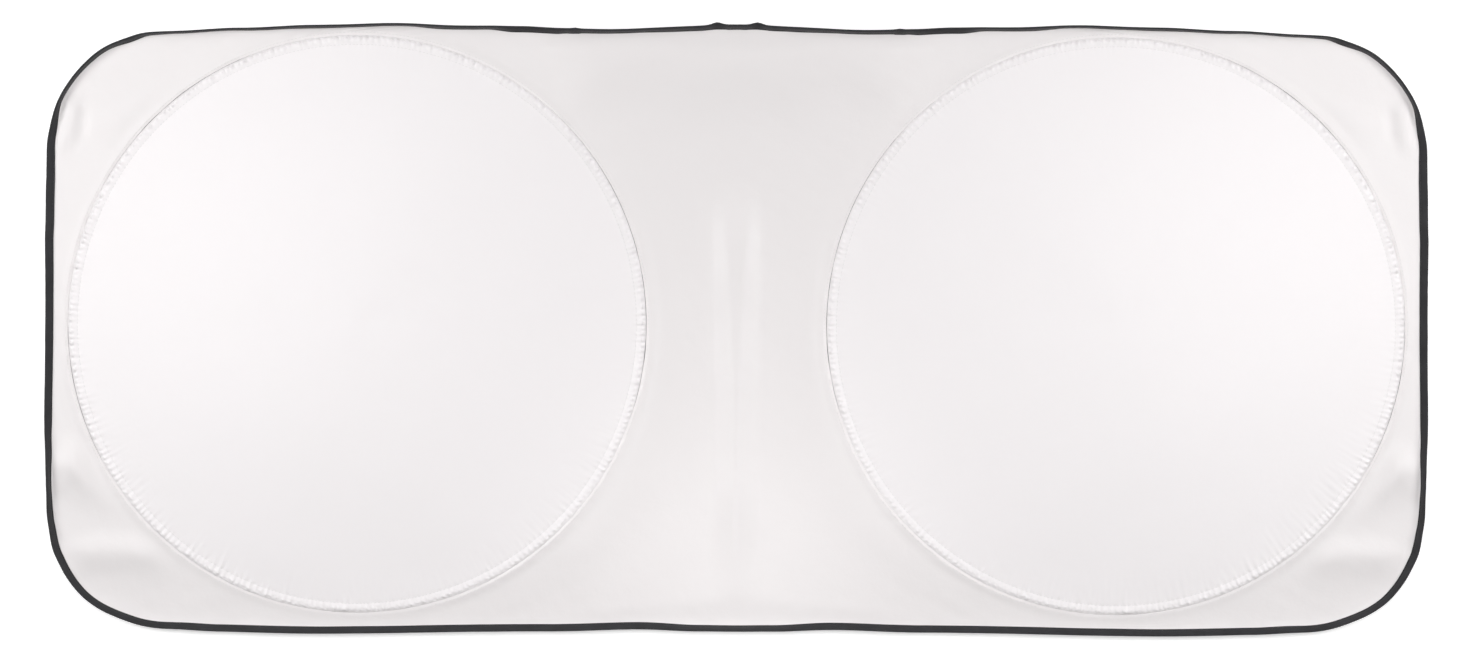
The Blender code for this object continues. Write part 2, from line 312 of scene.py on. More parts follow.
class CurledEdge:
    # the bound edge: where each station starts to curl, and points along the curl and off the cloth
    steps = 41

    def __init__(self, shares):
        data = np.array([outlinePoint(s) for s in shares])
        self.out = data[:, 2:4]
        curl = np.array([curlAt(s) for s in shares])
        self.way = np.linspace(0, outline["bindingWidth"], self.steps)
        self.angle = curl[:, None] * smoothStep(self.way / outline["bendWay"])[None, :]
        step = self.way[1]
        self.run = self.summed(np.cos(self.angle)) * step
        self.rise = self.summed(np.sin(self.angle)) * step
        self.start = data[:, 0:2] - self.out * self.run[:, -1:]
        self.start[:, 0] = np.maximum(self.start[:, 0], 0.0)
        folds = foldHeight(self.start[:, 0], self.start[:, 1])
        self.level = cloth["panelMid"] + folds + rimHeight(0.0, self.out[:, 1])
        self.along = np.concatenate([[0], np.cumsum(np.hypot(*np.diff(data[:, 0:2], axis=0).T))])
        self.flutter = summedNoise(self.along, 0 * self.along, outline["flutter"])
        self.flutter[[0, -1]] = 0.0

    @staticmethod
    def summed(values):
        # running sum of each row, by its middles
        middles = (values[:, 1:] + values[:, :-1]) / 2
        return np.concatenate([np.zeros((len(values), 1)), np.cumsum(middles, axis=1)], axis=1)

    def rimHeightAt(self, flat):
        # the climb at any place on the cloth, from its nearest station of the rim
        places = flat.reshape(-1, 1, 2)
        away = np.linalg.norm(places - self.start[None, :, :], axis=2)
        nearest = away.argmin(axis=1)
        return rimHeight(away.min(axis=1), self.out[nearest, 1]).reshape(flat.shape[:-1])

    def at(self, way, off):
        # one point for each station, so far along the curl and so far off the cloth's middle
        way = np.broadcast_to(way, (len(self.start),))
        off = np.broadcast_to(off, (len(self.start),))

        def picked(table):
            return np.array([np.interp(w, self.way, row) for w, row in zip(way, table)])

        angle = picked(self.angle)
        out = picked(self.run) - off * np.sin(angle)
        up = picked(self.rise) + off * np.cos(angle) + self.flutter * way / outline["bindingWidth"]
        return np.column_stack([self.start + self.out * out[:, None], self.level + up])


# Node helpers for materials and groups
def link(tree, source, target):
    tree.links.new(source, target)


def newGroup(name, inputs, outputs):
    group = bpy.data.node_groups.new(name, "ShaderNodeTree")
    for label, kind, value in inputs:
        socket = group.interface.new_socket(label, in_out="INPUT", socket_type=kind)
        if value is not None:
            socket.default_value = value
    for label, kind in outputs:
        group.interface.new_socket(label, in_out="OUTPUT", socket_type=kind)
    return group, group.nodes.new("NodeGroupInput"), group.nodes.new("NodeGroupOutput")


def mathNode(tree, operation, first, second=None, third=None):
    node = tree.nodes.new("ShaderNodeMath")
    node.operation = operation
    for socket, value in zip(node.inputs, (first, second, third)):
        if value is None:
            continue
        if isinstance(value, (int, float)):
            socket.default_value = value
        else:
            link(tree, value, socket)
    return node.outputs[0]


def noiseNode(tree, vector, scale, detail, roughness=0.5):
    node = tree.nodes.new("ShaderNodeTexNoise")
    node.inputs["Scale"].default_value = scale
    node.inputs["Detail"].default_value = detail
    node.inputs["Roughness"].default_value = roughness
    link(tree, vector, node.inputs["Vector"])
    return node.outputs["Fac"]


# Noise sizes are waves per metre
weave = {
    "coarse": 28.0, "fine": 260.0, "fineShare": 0.15, "threadShare": 0.03, "drift": 5.0,
    "roughness": 0.34, "roughnessSpread": 0.12, "bump": 0.35, "bumpDepth": 0.0012,
}
ribbing = {"lint": 900.0, "lintShare": 0.6, "wear": 45.0, "wearFloor": 0.4, "bump": 0.5, "bumpDepth": 0.0003}


def buildWeaveGroup():
    # plain weave under a thin coating: thread height, soft crumple and a tone that drifts a little
    group, given, result = newGroup(
        "coated weave",
        (("Vector", "NodeSocketVector", None), ("Thread Pitch", "NodeSocketFloat", 0.0005),
         ("Crumple", "NodeSocketFloat", 1.0), ("Tone Spread", "NodeSocketFloat", 0.04)),
        (("Height", "NodeSocketFloat"), ("Tone", "NodeSocketFloat"), ("Roughness", "NodeSocketFloat")))
    split = group.nodes.new("ShaderNodeSeparateXYZ")
    link(group, given.outputs["Vector"], split.inputs[0])
    rate = mathNode(group, "DIVIDE", math.pi, given.outputs["Thread Pitch"])
    warp = mathNode(group, "SINE", mathNode(group, "MULTIPLY", split.outputs["X"], rate))
    weft = mathNode(group, "SINE", mathNode(group, "MULTIPLY", split.outputs["Y"], rate))
    threads = mathNode(group, "ABSOLUTE", mathNode(group, "MULTIPLY", warp, weft))
    coarse = noiseNode(group, given.outputs["Vector"], weave["coarse"], 4.0, 0.55)
    fine = noiseNode(group, given.outputs["Vector"], weave["fine"], 3.0, 0.6)
    bothSizes = mathNode(group, "ADD", coarse, mathNode(group, "MULTIPLY", fine, weave["fineShare"]))
    crumpled = mathNode(group, "MULTIPLY", bothSizes, given.outputs["Crumple"])
    raised = mathNode(group, "MULTIPLY", threads, weave["threadShare"])
    link(group, mathNode(group, "ADD", crumpled, raised), result.inputs["Height"])
    drift = noiseNode(group, given.outputs["Vector"], weave["drift"], 2.0, 0.5)
    tone = mathNode(group, "MULTIPLY", mathNode(group, "SUBTRACT", drift, 0.5), given.outputs["Tone Spread"])
    link(group, mathNode(group, "ADD", tone, 0.5), result.inputs["Tone"])
    rougher = mathNode(group, "MULTIPLY", coarse, weave["roughnessSpread"])
    link(group, mathNode(group, "ADD", weave["roughness"], rougher), result.inputs["Roughness"])
    return group


def buildTapeGroup():
    # ribbed woven tape: ribs across its width, rubbed paler where it stands out
    group, given, result = newGroup(
        "ribbed tape",
        (("UV", "NodeSocketVector", None), ("Rib Pitch", "NodeSocketFloat", 0.0009),
         ("Slant", "NodeSocketFloat", 0.5)),
        (("Height", "NodeSocketFloat"), ("Rub", "NodeSocketFloat")))
    split = group.nodes.new("ShaderNodeSeparateXYZ")
    link(group, given.outputs["UV"], split.inputs[0])
    aside = mathNode(group, "MULTIPLY", split.outputs["Y"], given.outputs["Slant"])
    slanted = mathNode(group, "ADD", split.outputs["X"], aside)
    rate = mathNode(group, "DIVIDE", 2 * math.pi, given.outputs["Rib Pitch"])
    waves = mathNode(group, "SINE", mathNode(group, "MULTIPLY", slanted, rate))
    ribs = mathNode(group, "MULTIPLY_ADD", waves, 0.5, 0.5)
    lint = mathNode(group, "MULTIPLY", noiseNode(group, given.outputs["UV"], ribbing["lint"], 3.0, 0.65),
                    ribbing["lintShare"])
    link(group, mathNode(group, "ADD", ribs, lint), result.inputs["Height"])
    wear = noiseNode(group, given.outputs["UV"], ribbing["wear"], 4.0, 0.6)
    standing = mathNode(group, "ADD", ribs, ribbing["wearFloor"])
    link(group, mathNode(group, "MULTIPLY", standing, wear), result.inputs["Rub"])
    return group


weaveGroup = buildWeaveGroup()
tapeGroup = buildTapeGroup()


def newMaterial(name, slots):
    # a Principled material with its constant values set on the shader's own sockets
    made = bpy.data.materials.new(name)
    made.use_nodes = True
    shader = made.node_tree.nodes["Principled BSDF"]
    for socket, value in slots.items():
        shader.inputs[socket].default_value = value
    return made, made.node_tree, shader


def mixedColor(tree, factor, dark, pale):
    mix = tree.nodes.new("ShaderNodeMix")
    mix.data_type = "RGBA"
    link(tree, factor, mix.inputs["Factor"])
    mix.inputs["A"].default_value = (*dark, 1)
    mix.inputs["B"].default_value = (*pale, 1)
    return mix.outputs["Result"]


def bumpFrom(tree, shader, height, strength, distance):
    bump = tree.nodes.new("ShaderNodeBump")
    bump.inputs["Strength"].default_value = strength
    bump.inputs["Distance"].default_value = distance
    link(tree, height, bump.inputs["Height"])
    link(tree, bump.outputs["Normal"], shader.inputs["Normal"])


def groupNode(tree, group):
    # places a shader group and feeds it the piece's own UV map, or else Object coordinates
    place = tree.nodes.new("ShaderNodeTexCoord")
    node = tree.nodes.new("ShaderNodeGroup")
    node.node_tree = group
    link(tree, place.outputs["UV" if "UV" in node.inputs else "Object"], node.inputs[0])
    return node


def clothMaterial(name, dark, pale, crumple=1.0):
    gloss = {"Specular IOR Level": 0.5, "Sheen Weight": 0.1, "Sheen Roughness": 0.4}
    made, tree, shader = newMaterial(name, gloss)
    surface = groupNode(tree, weaveGroup)
    surface.inputs["Crumple"].default_value = crumple
    link(tree, mixedColor(tree, surface.outputs["Tone"], dark, pale), shader.inputs["Base Color"])
    link(tree, surface.outputs["Roughness"], shader.inputs["Roughness"])
    bumpFrom(tree, shader, surface.outputs["Height"], weave["bump"], weave["bumpDepth"])
    return made


def tapeMaterial(name, dark, pale, pitch, slant):
    made, tree, shader = newMaterial(name, {"Roughness": 0.62, "Sheen Weight": 0.12, "Sheen Roughness": 0.5})
    ribs = groupNode(tree, tapeGroup)
    ribs.inputs["Rib Pitch"].default_value = pitch
    ribs.inputs["Slant"].default_value = slant
    link(tree, mixedColor(tree, ribs.outputs["Rub"], dark, pale), shader.inputs["Base Color"])
    bumpFrom(tree, shader, ribs.outputs["Height"], ribbing["bump"], ribbing["bumpDepth"])
    return made


def threadMaterial(name, color):
    made, tree, shader = newMaterial(name, {"Roughness": 0.55, "Sheen Weight": 0.2})
    place = tree.nodes.new("ShaderNodeTexCoord")
    twist = noiseNode(tree, place.outputs["Object"], 1500.0, 2.0)
    darker = tuple(c * 0.75 for c in color)
    link(tree, mixedColor(tree, twist, darker, color), shader.inputs["Base Color"])
    bumpFrom(tree, shader, twist, 0.4, 0.0002)
    return made


def steelMaterial():
    made, tree, shader = newMaterial("rolled spring steel", {"Metallic": 1.0})
    place = tree.nodes.new("ShaderNodeTexCoord")
    stretch = tree.nodes.new("ShaderNodeMapping")
    stretch.inputs["Scale"].default_value = (60, 60, 2500)  # fine lines along the strip
    link(tree, place.outputs["Object"], stretch.inputs["Vector"])
    lines = noiseNode(tree, stretch.outputs["Vector"], 1.0, 4.0)
    link(tree, mixedColor(tree, lines, (0.36, 0.37, 0.39), (0.55, 0.56, 0.58)), shader.inputs["Base Color"])
    link(tree, mathNode(tree, "MULTIPLY_ADD", lines, 0.25, 0.22), shader.inputs["Roughness"])
    bumpFrom(tree, shader, lines, 0.15, 0.0001)
    return made


finish = {
    # dark and pale tone, crumple
    "discCloth": clothMaterial("silky white cloth", (0.87, 0.840, 0.848), (0.90, 0.869, 0.877)),
    # the loose cloth is the same white cloth as the discs, set darker as painted shade for the loose cloth
    # round the discs
    "looseCloth": clothMaterial("silky white cloth darkened as painted shade", (0.811, 0.780, 0.781), (0.840, 0.808, 0.809), 1.3),
    # dark and pale tone, pitch of the ribs, their slant
    # the tunnel tape is a real piece; its dark grey also shows through the gaps at the sewn line as a painted
    # shade line
    "pocketTape": tapeMaterial("grey tunnel tape with painted seam shade", (0.24, 0.24, 0.245), (0.40, 0.40, 0.41), 0.0007, 0.0),
    "blackTape": tapeMaterial("black edge tape", (0.002, 0.002, 0.003), (0.026, 0.026, 0.031), 0.0010, 0.6),
    "elastic": tapeMaterial("black elastic", (0.010, 0.010, 0.011), (0.06, 0.06, 0.065), 0.0012, 0.0),
    "whiteThread": threadMaterial("white thread", (0.80, 0.79, 0.78)),
    "blackThread": threadMaterial("black thread", (0.03, 0.03, 0.033)),
    "steel": steelMaterial(),
}
print("materials ready")

# The sewn line round each hoop; angles in degrees from the outer side, as seen on the right half
seam = {
    "rise": 0.0002, "lowRise": 0.0005, "riseReach": 0.006,
    "narrow": 0.00005, "wide": 0.0006, "openings": ((155, 22), (186, 13), (50, 22), (-15, 16)),  # angle, half
    "unevenness": 0.25, "lowFrom": 0.10, "lowOver": 0.55,
}
hem = {
    "lift": 0.0009, "peak": 0.0036, "reach": 0.005, "raggedness": 0.45,
    "lips": ((-140, 24, 1.1), (155, 20, 0.4), (-85, 38, -0.85)),  # angle, half width, share of extra lift
}


def lowShare(angle):
    # 0 along the upper side of a hoop and 1 along the lower side
    return smoothStep((-np.sin(angle) - seam["lowFrom"]) / seam["lowOver"])


def seamRise(angle):
    # the sewn line lies a little higher along the lower side
    return seam["rise"] + seam["lowRise"] * lowShare(angle)


def seamOpening(angle):
    # how far the loose cloth's hem stands off the sewn line
    total = np.full(np.shape(angle), seam["narrow"])
    for middle, half in seam["openings"]:
        total = total + (seam["wide"] - seam["narrow"]) * bell(wrapped(np.degrees(angle) - middle), half)
    return total * (1 + seam["unevenness"] * softNoise(angle * seamRadius, 0 * angle, 41, 0.03))


def hemHeight(past, angle):
    # the loose cloth swells a little beside the sewn line
    lip = smoothStep(past / hem["peak"]) * bell(np.clip(past - hem["peak"], 0, None), hem["reach"])
    rag = 1 + hem["raggedness"] * softNoise(angle * seamRadius, 0 * angle, 42, 0.011)
    for middle, half, extra in hem["lips"]:
        rag = rag * (1 + extra * bell(wrapped(np.degrees(angle) - middle), half))
    return hem["lift"] * lip * rag + seamRise(angle) * bell(np.clip(past, 0, None), seam["riseReach"])


# Loose cloth round the discs
loose = {
    "spokes": 520, "rows": 30, "rowSpacing": 1.15, "rimRows": 7,
    "hemRows": (0, 0.12, 0.28, 0.46, 0.7),  # shares of the way from the seam to the tape's edge
}


def spokesToMiddle(spokes):
    # how many spokes to each side of a hoop's inmost point face the shade's middle line
    return round(math.atan2(outline["halfDepth"], hoopX) / (2 * math.pi / spokes))


def buildLooseCloth():
    # rows run out from the sewn line along spokes, to the curled rim or to the middle line
    spokes = loose["spokes"]
    facingMiddle = spokesToMiddle(spokes)
    facing = spokes - 2 * facingMiddle
    shares = np.linspace(0, 1, facing + 1)
    edge = CurledEdge(shares)
    starts = edge.start
    inner = np.linspace(starts[-1, 1], starts[0, 1], 2 * facingMiddle + 1)[1:-1]
    goals = np.vstack([starts, np.column_stack([np.zeros_like(inner), inner])])
    angles = math.pi - (facingMiddle + np.arange(spokes)) * 2 * math.pi / spokes
    hole = seamRadius + seamOpening(angles)
    circle = np.column_stack([np.cos(angles), np.sin(angles)])
    hub = np.array([hoopX, hoopY])
    hemRows = [hub + circle * mixed(hole, tapeReach, share)[:, None] for share in loose["hemRows"]]
    second = hub + circle * tapeReach
    rowShares = np.linspace(0, 1, loose["rows"]) ** loose["rowSpacing"]
    fan = second[:, None, :] + (goals - second)[:, None, :] * rowShares[None, :, None]
    flat = np.concatenate([np.stack(hemRows, axis=1), fan], axis=1)
    height = cloth["panelMid"] + foldHeight(flat[..., 0], flat[..., 1]) + edge.rimHeightAt(flat)
    past = np.hypot(flat[..., 0] - hoopX, flat[..., 1] - hoopY) - hole[:, None]
    height += hemHeight(past, np.broadcast_to(angles[:, None], past.shape))
    points = np.concatenate([flat, height[..., None]], axis=2)
    columns = points.shape[1]
    faces = gridFaces(spokes, columns, closed=True)
    rim = outline["bindingWidth"] - cloth["thick"] - cloth["gap"]
    ways = np.linspace(0, rim, loose["rimRows"])
    curled = np.stack([edge.at(w, 0.0) for w in ways], axis=1)
    count = spokes * columns
    faces += gridFaces(facing + 1, len(ways), start=count)
    half = np.vstack([points.reshape(-1, 3), curled.reshape(-1, 3)])
    both = np.vstack([half, half * (-1, 1, 1)])
    mirrored = [tuple(i + len(half) for i in reversed(f)) for f in faces]
    piece = meshPiece("loose_cloth", both, faces + mirrored, finish["looseCloth"])
    return thicken(cleaned(piece), cloth["thick"])


# Round panels, gathered at the sewn row inside each tunnel
disc = {
    "crown": 0.0065, "crownFall": 1.1, "lean": (0.35, 0.45),
    "creases": ((0.00035, 32, 0.16), (0.00008, 33, 0.03)), "creaseFade": 0.03,  # height, seed, wavelength
    "innerRow": 0.0102, "rowRise": 0.0010, "rowSink": 0.00025, "rowSinkHalf": 0.0008, "rowSinkLeast": 0.4,
    "rowDip": 0.85, "rowDipAt": 165, "rowDipHalf": 48,  # lowest beside the shade's middle
    "crest": 0.00155, "clipCrest": 0.0011, "clipAt": -87.6, "clipHalf": 0.013,
    "shoulder": 0.0044, "shoulderCurve": 1.6, "lowShoulderCurve": 1.2, "flatTop": 0.001,
    "tooth": 0.0021, "toothAt": 0.0030, "toothHalf": 0.0017, "toothCurve": 1.4, "toothLowLess": 0.50,
    "crinkle": 0.00062, "crinkleSize": 0.0040, "crinkleFrom": 0.001, "crinkleTo": 0.006,
    "gathers": 300, "samplesPerGather": 6, "spacingDrift": 0.45, "sizes": (0.3, 1.0), "reaches": (0.5, 1.7),
    "gatherHigh": 0.00060, "gatherLow": 0.00035, "gatherReach": 0.007, "gatherCurve": 1.4,
    "wrinkle": 0.00030, "wrinkleSize": 0.0075, "wrinkleFrom": 0.003, "wrinkleReach": 0.022,
    "wrinkleCurve": 1.3, "wrinkleStretch": 0.30, "wrinkleUpper": 0.3,
}


def rowRise(angle):
    # height of the inner sewn row
    away = wrapped(np.degrees(angle) - disc["rowDipAt"])
    return disc["rowRise"] * (1 - disc["rowDip"] * bell(away, disc["rowDipHalf"]))


def puckerAt(angle):
    # place inside the present pucker, and each pucker's own size and length
    count = disc["gathers"]
    drift = disc["spacingDrift"] * softNoise(angle * seamRadius, 0 * angle, 34, 0.05)
    turn = (angle / (2 * math.pi) * count + drift) % count
    cell = np.floor(turn).astype(int) % count
    rng = np.random.default_rng(5)
    size = rng.uniform(*disc["sizes"], count)[cell]
    reach = rng.uniform(*disc["reaches"], count)[cell]
    return np.sin(math.pi * (turn - np.floor(turn))) ** 2, size, reach


def tunnelHeight(inside, angle, low):
    # the round of the cloth over the hoop, from the seam to the inner row
    clipAway = (angle - math.radians(disc["clipAt"]) + math.pi) % (2 * math.pi) - math.pi
    crest = disc["crest"] + disc["clipCrest"] * bell(clipAway * seamRadius, disc["clipHalf"])
    curve = mixed(disc["shoulderCurve"], disc["lowShoulderCurve"], low)
    shoulder = 1 - np.clip(1 - inside / disc["shoulder"], 0, 1) ** curve
    fallFrom = disc["shoulder"] + disc["flatTop"]
    fall = smoothStep((inside - fallFrom) / (disc["innerRow"] - fallFrom))
    return mixed(seamRise(angle), crest, shoulder) - (crest - rowRise(angle)) * fall


def discHeight(radius, angle):
    # height over the sewn level, for a radius from the middle and an angle round the hoop
    row = seamRadius - disc["innerRow"]
    inside = np.clip(seamRadius - radius, 0, None)
    inward = np.clip(row - radius, 0, None)
    low = lowShare(angle)  # the puckers run deepest and longest along the lower side
    bulge, size, reach = puckerAt(angle)
    leaning = 1 + (disc["lean"][0] * np.cos(angle) + disc["lean"][1] * np.sin(angle)) * radius / row
    crown = disc["crown"] * leaning * np.clip(1 - (radius / row) ** 2, 0, 1) ** disc["crownFall"]
    gather = mixed(disc["gatherLow"], disc["gatherHigh"], low) * size * bulge
    gather = gather * bell(inward, disc["gatherReach"] * reach * (1 + low), disc["gatherCurve"])
    gather = gather * smoothStep(inside / disc["shoulder"])
    stretched = inward * disc["wrinkleStretch"]
    wrinkle = disc["wrinkle"] * softNoise(angle * seamRadius, stretched, 35, disc["wrinkleSize"], 14)
    wrinkle = wrinkle * mixed(disc["wrinkleUpper"], 1, low) * smoothStep(inward / disc["wrinkleFrom"])
    wrinkle = wrinkle * bell(inward, disc["wrinkleReach"], disc["wrinkleCurve"])
    tooth = disc["tooth"] * (1 - disc["toothLowLess"] * low) * size * bulge ** disc["toothCurve"]
    tooth = tooth * bell(inside - disc["toothAt"], disc["toothHalf"])
    crinkle = disc["crinkle"] * np.abs(softNoise(angle * seamRadius, inside, 36, disc["crinkleSize"], 12))
    crinkle = crinkle * smoothStep(inside / disc["crinkleFrom"])
    crinkle = crinkle * (1 - smoothStep((inside - disc["crinkleTo"]) / disc["crinkleTo"]))
    sewn = -disc["rowSink"] * bell(radius - row, disc["rowSinkHalf"])
    sewn = sewn * mixed(disc["rowSinkLeast"], 1, 1 - bulge)
    crease = summedNoise(radius * np.cos(angle), radius * np.sin(angle), disc["creases"])
    crease = crease * smoothStep((row - radius) / disc["creaseFade"])
    return crown + gather + wrinkle + tunnelHeight(inside, angle, low) + tooth + crinkle + sewn + crease


def discRings():
    # radius and number of points of each ring, finer towards the gathers
    fine = disc["gathers"] * disc["samplesPerGather"]
    half, middle, centre = fine // 2, disc["gathers"], disc["gathers"] // 4
    row = seamRadius - disc["innerRow"]
    beforeRow = (0.029, 0.023, 0.018, 0.014, 0.0105, 0.0075, 0.005)
    byRow = (-0.003, -0.0015, -0.0006, 0.0, 0.0006, 0.0015, 0.003, 0.0045)
    bySeam = (0.0047, 0.0039, 0.0032, 0.0026, 0.0020, 0.0014, 0.0009, 0.0004, 0.0)
    rings = [(radius, centre) for radius in np.linspace(0.010, 0.060, 5)]
    rings += [(radius, middle) for radius in np.linspace(0.070, row - 0.036, 15)]
    rings += [(row - way, half) for way in beforeRow]
    rings += [(row + way, fine) for way in byRow]
    rings += [(seamRadius - way, fine) for way in bySeam]
    return rings


def buildDisc(side, sign):
    rings = discRings()
    hub = cloth["panelMid"] + float(discHeight(np.array(0.0), np.array(0.0)))
    points, offsets = [(hoopX, hoopY, hub)], []
    for radius, count in rings:
        offsets.append(len(points))
        angle = np.arange(count) * 2 * math.pi / count
        z = cloth["panelMid"] + discHeight(np.full(count, radius), angle)
        points += list(zip(hoopX + radius * np.cos(angle), hoopY + radius * np.sin(angle), z))
    first = rings[0][1]
    faces = [(0, offsets[0] + k, offsets[0] + (k + 1) % first) for k in range(first)]
    for (near, far), (a, b) in zip(zip(offsets, offsets[1:]), zip(rings, rings[1:])):
        step = b[1] // a[1]
        for k in range(a[1]):
            outer = [far + (k * step + j) % b[1] for j in range(step + 1)]
            faces.append((near + k, *outer, near + (k + 1) % a[1]))
    piece = meshPiece(f"{side}_disc_cloth", points, faces, finish["discCloth"], mirror=sign < 0)
    return thicken(cleaned(piece), cloth["thick"])


# Tape behind each tunnel
pocket = {
    "steps": 456, "columns": 7, "halfWidth": 0.0085, "flatHalf": 0.0020,
    "bellyHalf": 0.0026, "bellyReach": 0.0060, "lowest": 0.00025, "edgeRise": 0.00205,
    "puckers": 114, "pucker": 0.000108, "puckerFrom": 0.3, "puckerOver": 0.5,
}


def pocketHeight(off, angle):
    # middle of the tape at a distance off the hoop, with shallow puckers between the stitches
    share = (np.abs(off) - pocket["bellyHalf"]) / (pocket["bellyReach"] - pocket["bellyHalf"])
    share = np.clip(share, 0, 1)
    rim = pocket["edgeRise"] + rowRise(angle) * (off < 0)
    pucker = pocket["pucker"] * np.abs(np.sin(angle * pocket["puckers"]))
    pucker = pucker * smoothStep((share - pocket["puckerFrom"]) / pocket["puckerOver"])
    return mixed(pocket["lowest"], rim, smoothStep(share)) - pucker


def buildPocket(side, sign):
    outer = np.linspace(pocket["flatHalf"], pocket["halfWidth"], pocket["columns"])
    offs = np.concatenate([-outer[::-1], [0.0], outer])
    count = pocket["steps"]
    angles = np.arange(count) * 2 * math.pi / count
    angle, off = np.meshgrid(angles, offs, indexing="ij")
    x, y = hoopX + (hoopRadius + off) * np.cos(angle), hoopY + (hoopRadius + off) * np.sin(angle)
    points = np.stack([x, y, pocketHeight(off, angle)], axis=2).reshape(-1, 3)
    faces = gridFaces(count, len(offs), closed=True)
    along = [step * hoopRadius * 2 * math.pi / count for step in range(count + 1)]
    uvs = gridUvs(along, offs)
    piece = meshPiece(f"{side}_tunnel_tape", points, faces, finish["pocketTape"], uvs, mirror=sign < 0)
    return thicken(piece, cloth["thick"])


# Black tape folded over the rim
binding = {
    "steps": 640, "off": 0.0008, "groove": 0.0024, "grooveDepth": 0.00025, "grooveHalf": 0.0006,
    "puff": 0.00025, "puffFrom": 0.003,
}


def bindingSection():
    # distance along the curl and off the cloth, from the front leaf round the fold to the back leaf
    width, off = outline["bindingWidth"] - cloth["thick"] / 2, binding["off"]
    byGroove = np.linspace(0.0016, 0.0032, 5)
    onPuff = np.linspace(0.0042, width - off, 5)
    front = []
    for way in (0.0004, 0.0010, *byGroove, *onPuff):
        dent = binding["grooveDepth"] * bell(way - binding["groove"], binding["grooveHalf"])
        share = np.clip((way - binding["puffFrom"]) / (width - off - binding["puffFrom"]), 0, 1)
        front.append((way, off - dent + binding["puff"] * math.sin(math.pi * share)))
    turns = np.linspace(math.pi / 2, -math.pi / 2, 7)[1:-1]
    bend = [(width - off + off * math.cos(turn), off * math.sin(turn)) for turn in turns]
    back = [(way, -height) for way, height in reversed(front)]
    return front + bend + back


def buildBinding():
    edge = CurledEdge(np.linspace(0, 1, binding["steps"] + 1))
    section = bindingSection()
    half = np.stack([edge.at(way, off) for way, off in section], axis=1).reshape(-1, 3)
    faces = gridFaces(binding["steps"] + 1, len(section))
    across = np.concatenate([[0], np.cumsum([math.dist(a, b) for a, b in zip(section, section[1:])])])
    uvs = gridUvs(edge.along, across)
    both = np.vstack([half, half * (-1, 1, 1)])
    mirroredFaces = [tuple(i + len(half) for i in reversed(face)) for face in faces]
    mirroredUvs = [tuple((-u, v) for u, v in reversed(face)) for face in uvs]
    piece = meshPiece("folded_edge_tape", both, faces + mirroredFaces, finish["blackTape"], uvs + mirroredUvs)
    return thicken(cleaned(piece, topUp=False), cloth["thick"])


# Elastic loop behind the top edge
elasticLoop = {
    "width": 0.008, "thick": 0.0010, "ribs": 5, "ribHeight": 0.00012, "straightSteps": 20, "bendPoints": 31,
    "mostLift": 0.004,  # over its level in the solids
}


def loopRoute():
    # down from the top edge on the left, round the bend and up again on the right
    half = (loopHigh.x - loopLow.x) / 2
    radius = half - elasticLoop["width"] / 2
    top, low = loopHigh.y, loopLow.y + half
    steps = elasticLoop["straightSteps"]
    down = [top + (low - top) * step / steps for step in range(steps)]
    turns = np.linspace(math.pi, 2 * math.pi, elasticLoop["bendPoints"])
    bend = [(radius * math.cos(turn), low + radius * math.sin(turn)) for turn in turns]
    return np.array([(-radius, y) for y in down] + bend + [(radius, y) for y in reversed(down)])


def buildElasticLoop():
    route = loopRoute()
    tangent = np.gradient(route, axis=0)
    tangent /= np.linalg.norm(tangent, axis=1)[:, None]
    normal = np.column_stack([-tangent[:, 1], tangent[:, 0]])
    columns = elasticLoop["ribs"] * 4 + 1
    across = np.linspace(-elasticLoop["width"] / 2, elasticLoop["width"] / 2, columns)
    ribs = elasticLoop["ribHeight"] * np.cos(np.linspace(0, 2 * math.pi * elasticLoop["ribs"], columns))
    under = cloth["thick"] / 2 + cloth["gap"] / 2 + elasticLoop["thick"] / 2
    highest = (loopLow.z + loopHigh.z) / 2 + elasticLoop["mostLift"]
    rows = []
    for off, rib in zip(across, ribs):
        flat = route + normal * off
        level = cloth["panelMid"] + foldHeight(flat[:, 0], flat[:, 1]) - under
        rows.append(np.column_stack([flat, np.clip(level, elasticLoop["thick"] / 2, highest) + rib]))
    points = np.stack(rows, axis=1).reshape(-1, 3)
    along = np.concatenate([[0], np.cumsum(np.hypot(*np.diff(route, axis=0).T))])
    faces, uvs = gridFaces(len(route), columns), gridUvs(along, across)
    piece = meshPiece("elastic_loop", points, faces, finish["elastic"], uvs)
    return thicken(piece, elasticLoop["thick"] - 2 * elasticLoop["ribHeight"])


# Stitches, made along a path by a node tree
stitch = {
    "pitch": 0.0041, "length": 0.0030, "width": 0.00042, "turnSpread": 0.10, "proud": 0.15,
    "besideSeam": 0.0031, "tapeRow": 0.0072, "hoopPoints": 1140, "edgePoints": 900,
    "hoopSeed": 3, "edgeSeed": 4,
}


